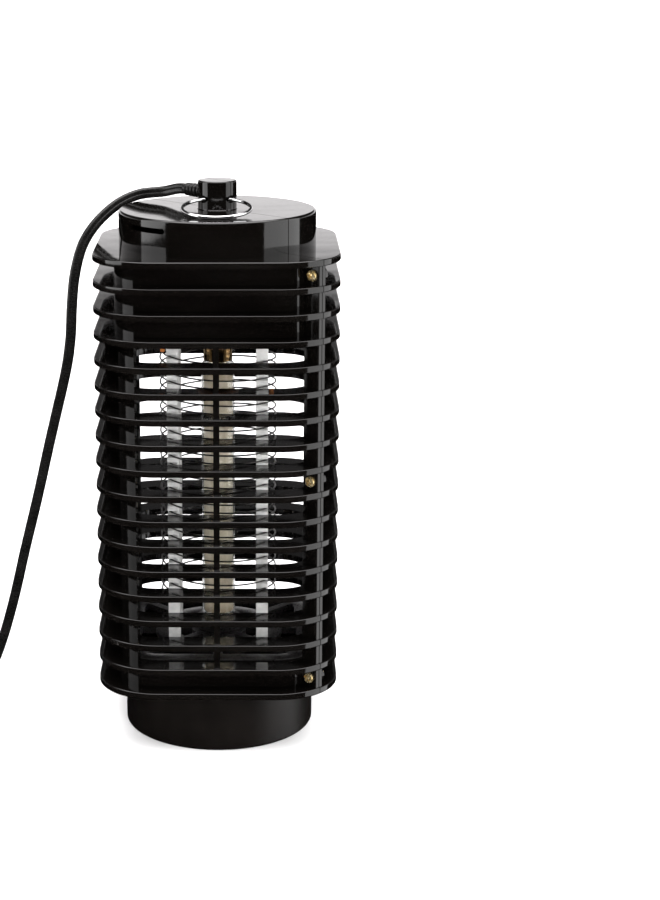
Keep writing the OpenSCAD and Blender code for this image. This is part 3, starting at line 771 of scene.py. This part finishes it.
def rib_parts():
    """The upright ribs: one web in every open gap of every side, wider at its foot."""
    half_t, parts = 1.35 * MM, []
    for k in range(FIRST_OPEN, LAST_OPEN + 1):
        top, foot = plate_top(k) - PLATE_T + BITE, plate_top(k + 1) - BITE
        outline = [(RIB_IN, foot), (RIB_FOOT, foot), (RIB_HEAD, top), (RIB_IN, top)]
        sides = [[(x, y, z) for x, z in outline] for y in (-half_t, half_t)]
        parts += [slab(*sides, a) for a in (0, 90, 180, 270)]
    return parts


def flange_parts():
    """The two flanges that meet at each seam, in one bar until the seam is cut."""
    size = (FLANGE_OUT - FLANGE_IN, 2 * FLANGE_T, WALL_HIGH - WALL_LOW)
    centre = ((FLANGE_IN + FLANGE_OUT) / 2, 0, (WALL_LOW + WALL_HIGH) / 2)
    return [moved(round_box(size, centre, 0.35 * MM), Matrix.Rotation(math.radians(a), 4, "Z"))
            for a in (-45, 135)]


SCREW_R = 61.4 * MM
SCREW_GAPS = (0, 8, 16)


def screw_places():
    """For each seam screw, a matrix that puts +Z along the screw, away from its head."""
    places = []
    for turn in (0, 180):
        for k in SCREW_GAPS:
            z = (plate_top(k) - PLATE_T + plate_top(k + 1)) / 2
            at = Matrix.Translation((SCREW_R * DIAGONAL, -SCREW_R * DIAGONAL, z))
            lay = Matrix.Rotation(math.radians(45), 4, "Z") @ Matrix.Rotation(math.radians(90), 4, "Y")
            places.append(Matrix.Rotation(math.radians(turn), 4, "Z") @ at @ lay)
    return places


def rod(radius, low, high, steps=32):
    return axis_lathe([(0, low), (radius, low), (radius, high), (0, high)], steps)


def boss(place):
    profile = [(0, 1.8 * MM), (2.8 * MM, 1.8 * MM), (2.8 * MM, 4.8 * MM), (2.4 * MM, 5.2 * MM), (0, 5.2 * MM)]
    return moved(axis_lathe(profile, 32), place)


def slot_cutter(turn):
    """A vent slot with round ends, through the cap's wall."""
    half, radius, z, reach = 10.3 * MM, 1.2 * MM, TOP_Z + 10.8 * MM, 4 * MM
    outline = arc(half, z, radius, -90, 90, 8) + arc(-half, z, radius, 90, 270, 8)
    return slab(*[[(x, y, height) for y, height in outline] for x in (CAP_R - reach, CAP_R + reach)], turn)


def cutters():
    """Vents, the ring's hole, the cord's seat and the screw holes."""
    ring_hole = Matrix.Translation((0, RING_HOLE_Y, RING_HOLE_Z)) @ Matrix.Rotation(math.radians(90), 4, "Y")
    parts = [slot_cutter(45), slot_cutter(225),
             moved(rod(1.75 * MM, -13 * MM, 13 * MM), ring_hole),
             moved(rod(3.15 * MM, 4 * MM, 14 * MM), RELIEF_PLACE)]
    parts += [moved(rod(1.5 * MM, -6 * MM, 7.5 * MM, 24), place) for place in screw_places()]
    return parts


def tool(parts):
    """A helper object from closed parts that don't overlap each other."""
    verts, faces = joined(parts)
    data = mesh_of("tool", verts, faces)
    work = bmesh.new()
    work.from_mesh(data)
    bmesh.ops.remove_doubles(work, verts=work.verts, dist=1e-7)
    bmesh.ops.recalc_face_normals(work, faces=work.faces)
    work.to_mesh(data)
    work.free()
    return placed("tool", data)


def carve(base, *steps):
    """Apply boolean steps (operation, parts) to the base's mesh and return the new mesh."""
    helpers = []
    for operation, parts in steps:
        helper = tool(parts)
        helpers.append(helper)
        step = base.modifiers.new(operation, "BOOLEAN")
        step.operation = operation
        step.solver = "MANIFOLD"
        step.object = helper
    view = bpy.context.evaluated_depsgraph_get()
    result = bpy.data.meshes.new_from_object(base.evaluated_get(view))
    for helper in helpers:
        bpy.data.objects.remove(helper)
    return result


def whole_housing():
    """Both halves in one mesh, before the seam is cut."""
    plates = [ring_of(lip_profile(WALL_IN, plate_top(k) - PLATE_T, plate_top(k)), ALL_ROUND)
              for k in range(PLATES)]
    bands = [ring_of(box_profile(WALL_IN, WALL_OUT, plate_top(k + 1) - BITE, plate_top(k) - PLATE_T + BITE),
                     ALL_ROUND) for k in CLOSED_GAPS]
    posts = [ring_of(box_profile(WALL_IN, WALL_OUT, WALL_LOW, WALL_HIGH), stations((turn,)), False)
             for turn in (FRONT_POST, REAR_POST)]
    ledges = [ring_of(box_profile(LEDGE_IN, WALL_IN + BITE, plate_top(k) - PLATE_T, plate_top(k)), ALL_ROUND)
              for k in (FIRST_OPEN, LAST_OPEN + 1)]
    ends = [square_to_round(WALL_IN + BITE, CAP_R - CAP_WALL / 2, TOP_Z - PLATE_T, TOP_Z),
            square_to_round(WALL_IN + BITE, COLLAR_IN, LOWEST_TOP - PLATE_T, LOWEST_TOP)]
    collar = lathe(box_profile(COLLAR_IN, COLLAR_R, HOUSING_LOW.z, LOWEST_TOP - 1 * MM), 144, closed=True)
    base = tool(plates)
    mesh = carve(base, ("UNION", bands), ("UNION", posts), ("UNION", ledges), ("UNION", ends),
                 ("UNION", [collar]), ("UNION", [axis_lathe(cap_profile())]), ("UNION", rib_parts()),
                 ("UNION", flange_parts()), ("UNION", [boss(p) for p in screw_places()]),
                 ("DIFFERENCE", cutters()))
    bpy.data.objects.remove(base)
    return mesh


def far_side(turn):
    """A block over all that lies past the seam plane."""
    size = 0.6
    return moved(round_box((size, size, size), (size / 2 - SEAM_GAP / 2, 0, 0.13), 0.01, 1),
                 Matrix.Rotation(math.radians(turn), 4, "Z"))


def carved_piece(name, data, finish, angle):
    """A carved mesh as a piece of the housing, with edges over the angle in degrees kept sharp."""
    data.name = name
    data.shade_smooth()
    data.set_sharp_from_angle(angle=math.radians(angle))
    data.materials.clear()
    data.materials.append(FINISH[finish])
    made = placed(name, data)
    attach(made, "housing")
    return made


def make_housing():
    whole = whole_housing()
    for name, turn, nodes in (("front_moulding", 45, ("front_shell", "front_louvres", "front_ribs")),
                              ("rear_moulding", 225, ("rear_shell", "rear_louvres", "rear_ribs"))):
        base = placed("whole", whole)
        data = carve(base, ("DIFFERENCE", [far_side(turn)]))
        bpy.data.objects.remove(base)
        half = carved_piece(name, data, "gloss_black", 32)
        flat = half.modifiers.new("flat", "WEIGHTED_NORMAL")
        flat.keep_sharp = True
        flat.weight = 100
        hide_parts(*nodes)


# ---------------------------------------------------------------- screws, ring and tray

SCREW_HEAD_R = 2.5 * MM
SCREW_HEAD_H = 1.9 * MM
SCREW_TIP = 6.9 * MM


def screw_profile():
    """Pan head, plain neck, threads and a short point, from the top of the head down."""
    top = -FLANGE_T - SCREW_HEAD_H
    profile = [(0, top), (1.3 * MM, top + 0.03 * MM), (1.95 * MM, top + 0.25 * MM),
               (2.35 * MM, top + 0.7 * MM), (SCREW_HEAD_R, top + 1.25 * MM), (SCREW_HEAD_R, -FLANGE_T)]
    thread, z = 0.7 * MM, -FLANGE_T + 0.2 * MM
    while z < SCREW_TIP - 1.2 * MM:
        profile += [(1.05 * MM, z), (1.4 * MM, z + thread * 0.45), (1.4 * MM, z + thread * 0.55)]
        z += thread
    profile += [(1.05 * MM, z), (1.3 * MM, z + 0.1 * MM), (0.95 * MM, SCREW_TIP - 0.25 * MM),
                (0.5 * MM, SCREW_TIP - 0.03 * MM), (0, SCREW_TIP)]
    return profile


def make_screws():
    """Six self-tapping screws with cross recesses."""
    screws, recesses = [], []
    for place in screw_places():
        screws.append(moved(axis_lathe(screw_profile(), 32), place))
        top = -FLANGE_T - SCREW_HEAD_H
        for turn in (0.4, 0.4 + math.pi / 2):
            slot = round_box((3.5 * MM, 0.95 * MM, 2.6 * MM), (0, 0, top), 0.12 * MM, 1)
            recesses.append(moved(slot, place @ Matrix.Rotation(turn, 4, "Z")))
    base = tool(screws)
    data = carve(base, ("DIFFERENCE", recesses[0::2]), ("DIFFERENCE", recesses[1::2]))
    bpy.data.objects.remove(base)
    made = carved_piece("cross_head_screws", data, "screw_zinc", 35)
    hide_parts("seam_screws")


def make_ring():
    """Ring of bent wire; its butted ends meet inside the knob."""
    radius, wire = 15.2 * MM, 0.8 * MM
    sag = radius - 0.75 * MM
    drop = math.asin((RING_HOLE_Z - CAP_TOP - wire - 0.05 * MM) / (sag + radius))
    place = Matrix.Translation((0, RING_HOLE_Y, RING_HOLE_Z)) @ Matrix.Rotation(drop, 4, "X")
    centre = Vector((0, -sag, 0))
    steps, gap = 120, math.radians(0.8)
    path = []
    for i in range(steps + 1):
        a = math.pi / 2 + gap + (2 * math.pi - 2 * gap) * i / steps
        path.append(place @ (centre + radius * Vector((math.cos(a), math.sin(a), 0))))
    made = piece("chrome_ring", *swept(path, circle(wire - 0.01 * MM, 20), (0, 0, 1)), "chrome", "ring",
                 "chrome_wire")
    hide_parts("hanging_ring")


def make_tray():
    """Round tray: rounded foot and rim, a rounded corner inside, and a shallow recess under its floor."""
    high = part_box("insect_tray")[1]
    radius, top, wall = high.x, high.z, 2.2 * MM
    foot, rim, root = 1.5 * MM, 0.45 * MM, 2.0 * MM
    inner = radius - wall
    profile = [(0, 0.4 * MM), (30 * MM, 0.4 * MM)] + arc(30.4 * MM, 0, 0.4 * MM, 90, 0, 3)
    profile += [(radius - foot - 2.5 * MM, 0)]
    profile += arc(radius - foot, foot, foot, -90, 0, 8)
    profile += arc(radius - rim, top - rim, rim, 0, 90, 4)
    profile += arc(inner + rim, top - rim, rim, 90, 180, 4)
    profile += arc(inner - root, wall + root, root, 0, -90, 6)
    profile += [(0, wall)]
    made = piece("catch_tray", *axis_lathe(profile, 160), "tray_black", "tray", "tray")
    sharpen(made, 32)
    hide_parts("insect_tray")


def sharpen(thing, angle):
    thing.data.set_sharp_from_angle(angle=math.radians(angle))
    flat = thing.modifiers.new("flat", "WEIGHTED_NORMAL")
    flat.keep_sharp = True


# ---------------------------------------------------------------- grid and lamp

GRID_R = 26.7 * MM
GRID_WIRE_R = 0.4 * MM
GRID_PITCH = 7.73 * MM
GRID_TURNS = 15
WIRE_TOP = 180 * MM
WIRE_START = 207.6
LEAD_R = 28.1 * MM


def polar(radius, degrees, z):
    a = math.radians(degrees)
    return Vector((radius * math.cos(a), radius * math.sin(a), z))


def make_grid_wire(name, node, start):
    """One wound wire; its top end bends out and up into its lead."""
    steps = 60
    path = [polar(LEAD_R, start, WIRE_TOP + 3.5 * MM), polar(LEAD_R, start, WIRE_TOP + 1.7 * MM),
            polar(LEAD_R - 0.3 * MM, start + 0.9, WIRE_TOP + 0.75 * MM),
            polar(GRID_R + 0.5 * MM, start + 2.4, WIRE_TOP + 0.05 * MM)]
    for i in range(1, GRID_TURNS * steps + 1):
        turn = i / steps
        path.append(polar(GRID_R, start + 360 * turn, WIRE_TOP - GRID_PITCH * turn))
    made = piece(name, *swept(path, circle(GRID_WIRE_R, 8), polar(1, start, 0)), "wire_steel", "housing",
                 "grid_wire")
    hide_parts(node)


LAMP_R = 7.85 * MM
GLASS_LOW = 51 * MM
GLASS_TOP = 175 * MM


def make_lamp():
    """Clear tube with rounded shoulders, and the coated sleeve inside it."""
    neck, wall = 6.4 * MM, 0.8 * MM
    outer = [(neck, GLASS_LOW)] + arc(LAMP_R - 3 * MM, GLASS_LOW + 3 * MM, 3 * MM, -58, 0, 6)
    outer += arc(LAMP_R - 3 * MM, GLASS_TOP - 3 * MM, 3 * MM, 0, 58, 6) + [(neck, GLASS_TOP)]
    inner = [(r - wall, z) for r, z in outer[::-1]]
    glass = piece("lamp_glass_tube", *lathe(outer + inner, 72, closed=True), "glass", "housing",
                  "lamp_glass")
    sharpen(glass, 50)
    coat_low, coat_top, coat_r = GLASS_LOW + 2.5 * MM, GLASS_TOP - 4.5 * MM, 6.85 * MM
    soft = 0.8 * MM
    outer = arc(coat_r - soft, coat_low + soft, soft, -90, 0)
    outer += arc(coat_r - soft, coat_top - soft, soft, 0, 90)
    inner = [(coat_r - 2.2 * soft, coat_top), (coat_r - 2.2 * soft, coat_low)]
    piece("lamp_phosphor", *lathe(outer + inner, 72, closed=True), "phosphor", "housing", "lamp_glass")
    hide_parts("lamp_tube")


def make_stems():
    """A glass flare in each end of the lamp, and the two wires that it holds."""
    stems = []
    for end, way in ((GLASS_LOW, 1), (GLASS_TOP, -1)):
        flare = [(0, 0.2), (4.6, 0.2), (4.4, 1.2), (3.0, 3.0), (2.4, 5.5), (2.3, 8), (1.6, 9.4), (0, 9.6)]
        rows = [(r * MM, end + way * z * MM) for r, z in flare]
        stems.append(axis_lathe(rows, 32))
        for side in (-1, 1):
            wire = [Vector((side * x * MM, 0, end + way * z * MM))
                    for x, z in ((1.1, 8.5), (1.2, 10.5), (1.9, 12.5), (2.2, 14.5))]
            stems.append(swept(smooth_curve(wire, 4), circle(0.22 * MM, 8), (0, 1, 0)))
    piece("lamp_stems", *joined(stems), "lamp_metal", "housing", "lamp_metal")


def make_board_wires():
    """Bent wire ends of the small parts that lie on the board."""
    board_top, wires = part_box("circuit_board")[1].z, []
    for node, radius, count in (("diodes", 0.4, 4), ("resistors", 0.3, 3)):
        low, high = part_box(node)
        middle_z = (low.z + high.z) / 2
        part_r = (high.z - low.z) / 2
        for i in range(count):
            x = low.x + part_r + (high.x - low.x - 2 * part_r) * i / (count - 1)
            for y, way in ((low.y, -1), (high.y, 1)):
                path = [Vector((x, y - way * 0.4 * MM, middle_z)), Vector((x, y + way * 0.8 * MM, middle_z)),
                        Vector((x, y + way * 1.3 * MM, middle_z - 0.3 * MM)),
                        Vector((x, y + way * 1.4 * MM, board_top))]
                wires.append(swept(smooth_curve(path, 4), circle(radius * MM, 8), (1, 0, 0)))
    piece("component_wires", *joined(wires), "solder", "housing", "steel_screw")


# ---------------------------------------------------------------- everything on the object

# Each carried-over CAD node's finish and the rounding of its edges, or None for a plain one
CAD_FINISHES = (
    ("plug_pins", "nickel", 0.25 * MM),
    ("pin_sleeves", "plug_black", 0.12 * MM),
    ("grid_post_front_left", "milky", 0.25 * MM),
    ("grid_post_front_right", "milky", 0.25 * MM),
    ("grid_post_back_left", "milky", 0.25 * MM),
    ("grid_post_back_right", "milky", 0.25 * MM),
    ("grid_base", "inner_black", 0.3 * MM),
    ("grid_top", "inner_black", 0.3 * MM),
    ("lamp_holder_lower", "inner_black", 0.3 * MM),
    ("lamp_holder_upper", "phenolic", 0.4 * MM),
    ("lamp_cap_lower", "lamp_metal", 0.3 * MM),
    ("lamp_cap_upper", "cap_bronze", 0.3 * MM),
    ("circuit_board", "laminate", 0.15 * MM),
    ("board_screws", "solder", 0.3 * MM),
    ("film_capacitors", "red_dip", 1.2 * MM),
    ("ballast_capacitor", "yellow_film", 0.8 * MM),
    ("diodes", "inner_black", 0.25 * MM),
    ("resistors", "resistor_tan", 0.3 * MM),
    ("mains_lead", "cord_black", None),
    ("high_voltage_leads", "lead_orange", 0.2 * MM),
    ("lamp_leads", "lead_white", 0.15 * MM),
    ("lamp_return_lead", "lead_white", None),
)


def make_object():
    relief, plug, tie = make_relief(), make_plug(), make_tie()
    make_housing()
    make_screws()
    make_ring()
    make_tray()
    make_grid_wire("grid_coil_live", "grid_wire_live", WIRE_START)
    make_grid_wire("grid_coil_return", "grid_wire_return", WIRE_START + 180)
    make_lamp()
    make_stems()
    make_board_wires()
    for node, finish, width in CAD_FINISHES:
        dress(node, finish, width)


make_object()


# ---------------------------------------------------------------- floor, world and lights

# Strengths of the world's two lights
GLOW = 1.75
OVERHEAD = 6.2


def make_floor():
    """A pale floor far wider than the view, kept out of the black plastic's reflections."""
    half = 14.0
    corners = [(-half, -half, 0), (half, -half, 0), (half, half, 0), (-half, half, 0)]
    data = mesh_of("floor", corners, [[0, 1, 2, 3]])
    made, tree, bsdf = shader("floor")
    tree.links.new(ramp(tree, noise(tree, 3.0), 0.905, 0.93), bsdf.inputs["Base Color"])
    bsdf.inputs["Roughness"].default_value = 0.9
    bsdf.inputs["Specular IOR Level"].default_value = 0.1
    data.materials.append(made)
    floor = placed("floor", data)
    floor.visible_glossy = False


def make_backdrop():
    """A pale drum round it all that closes the view. It neither lights nor shows in the object."""
    radius, low, high = 9.0, -0.5, 7.0
    data = mesh_of("backdrop", *lathe([(radius, low), (radius, high)], 96))
    made, _, bsdf = shader("backdrop")
    bsdf.inputs["Base Color"].default_value = (0, 0, 0, 1)
    bsdf.inputs["Roughness"].default_value = 1.0
    bsdf.inputs["Specular IOR Level"].default_value = 0.0
    bsdf.inputs["Emission Color"].default_value = (1, 1, 1, 1)
    bsdf.inputs["Emission Strength"].default_value = 1.0
    data.materials.append(made)
    wall = placed("backdrop", data)
    wall.visible_diffuse = False
    wall.visible_glossy = False
    wall.visible_shadow = False


def maths(tree, operation, a, b):
    node = tree.nodes.new("ShaderNodeMath")
    node.operation = operation
    for socket, value in zip(node.inputs, (a, b)):
        if isinstance(value, float):
            socket.default_value = value
        else:
            tree.links.new(value, socket)
    return node.outputs["Value"]


def make_world():
    """A glow along the horizon behind the object and a broad light overhead; dark elsewhere."""
    world = bpy.data.worlds.new("studio")
    bpy.context.scene.world = world
    world.use_nodes = True
    tree = world.node_tree
    place = tree.nodes.new("ShaderNodeTexCoord")
    parts = tree.nodes.new("ShaderNodeSeparateXYZ")
    tree.links.new(place.outputs["Generated"], parts.inputs["Vector"])
    height = parts.outputs["Z"]
    # The glow starts a little below the horizon
    raised = maths(tree, "ADD", height, 0.05)
    glow = graded(tree, raised, ((0.03, 0.0), (0.036, 1.0), (0.20, 0.80), (0.24, 0.06), (0.45, 0.02)))
    behind = maths(tree, "MULTIPLY", maths(tree, "ADD", parts.outputs["Y"], 0.15), 1.6)
    behind = graded(tree, behind, ((0.0, 0.03), (1.0, 1.0)))
    above = graded(tree, height, ((0.70, 0.0), (0.86, 1.0)))
    total = maths(tree, "ADD", maths(tree, "MULTIPLY", maths(tree, "MULTIPLY", glow, behind), GLOW),
                  maths(tree, "MULTIPLY", above, OVERHEAD))
    tree.links.new(total, tree.nodes["Background"].inputs["Strength"])
    tree.nodes["Background"].inputs["Color"].default_value = (1, 0.975, 0.98, 1)


def make_light(name, place, aim, size, power, shows_in_gloss=True):
    data = bpy.data.lights.new(name, "AREA")
    data.shape = "RECTANGLE"
    data.size, data.size_y = size
    data.energy = power
    light = placed(name, data)
    light.matrix_world = (Matrix.Translation(place)
                          @ (Vector(aim) - Vector(place)).to_track_quat("-Z", "Y").to_matrix().to_4x4())
    light.visible_camera = False
    light.visible_glossy = shows_in_gloss


make_floor()
make_backdrop()
make_world()
make_light("left_strip", (-0.5, -0.137, 0.41), (0, -0.137, 0.41), (0.34, 0.50), 1.8)
make_light("right_strip", (0.5, -0.105, 0.22), (0, -0.105, 0.22), (0.51, 0.84), 3.4)
make_light("front_fill", (0.25, -1.3, 0.55), (0, 0, 0.12), (0.8, 0.8), 22.0, shows_in_gloss=False)
bpy.context.scene.view_settings.view_transform = "Standard"


# ---------------------------------------------------------------- size and finish

def plain(box):
    return [[round(c, 6) for c in corner] for corner in box]
